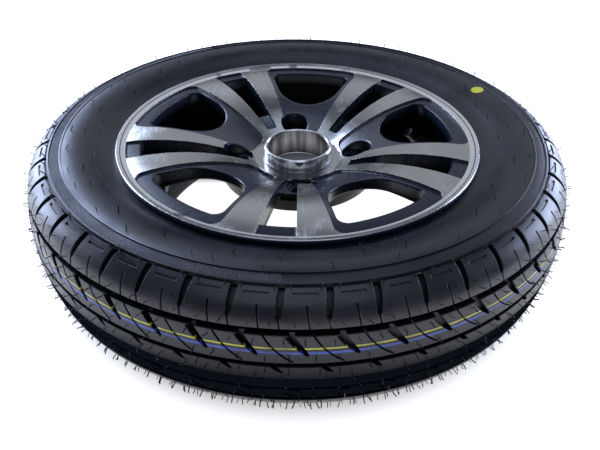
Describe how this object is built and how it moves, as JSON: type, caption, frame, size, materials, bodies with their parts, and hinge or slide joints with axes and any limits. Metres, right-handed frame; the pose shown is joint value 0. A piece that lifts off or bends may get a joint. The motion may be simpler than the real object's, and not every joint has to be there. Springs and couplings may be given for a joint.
{
  "type": "wheel and tyre assembly",
  "caption": "Small alloy road wheel with twin spokes, raised hub ring and stud holes, carrying a tubeless grooved tyre and a snap-in inflation valve.",
  "frame": {"origin": "centre of the wheel: on the wheel axis, in the tyre's centre plane", "axes": "+Z along the wheel axis towards the outboard face, which looks up; the wheel lies on its inboard sidewall"},
  "size_m": [0.4979, 0.498, 0.116],
  "materials": {
    "alloy": "cast aluminium, face diamond cut, pockets and barrel painted satin black",
    "tyre": "new moulded tyre rubber",
    "valve_rubber": "moulded black rubber",
    "valve_brass": "turned brass",
    "spring_steel": "drawn spring wire",
    "cap_plastic": "moulded black plastic"
  },
  "bodies": {
    "wheel": {"alloy_wheel": "alloy", "tyre": "tyre", "valve_stem": "valve_rubber", "valve_tube": "valve_brass", "core_housing": "valve_brass", "core_spring": "spring_steel"},
    "cap": {"valve_cap": "cap_plastic", "cap_seal": "valve_rubber"},
    "pin": {"core_pin": "valve_brass", "core_seal": "valve_rubber"}
  },
  "joints": [
    {"name": "cap_turn", "type": "hinge", "parent": "wheel", "child": "cap", "pos_m": [0.13387, 0.05112, 0.0033], "axis": [-0.6606, -0.2523, 0.7071], "range_deg": [0, 1440]},
    {"name": "core_press", "type": "slide", "parent": "wheel", "child": "pin", "axis": [0.6606, 0.2523, -0.7071], "range_m": [0, 0.0015], "stiffness_N_per_m": 1000, "deforming": ["core_spring"]}
  ]
}
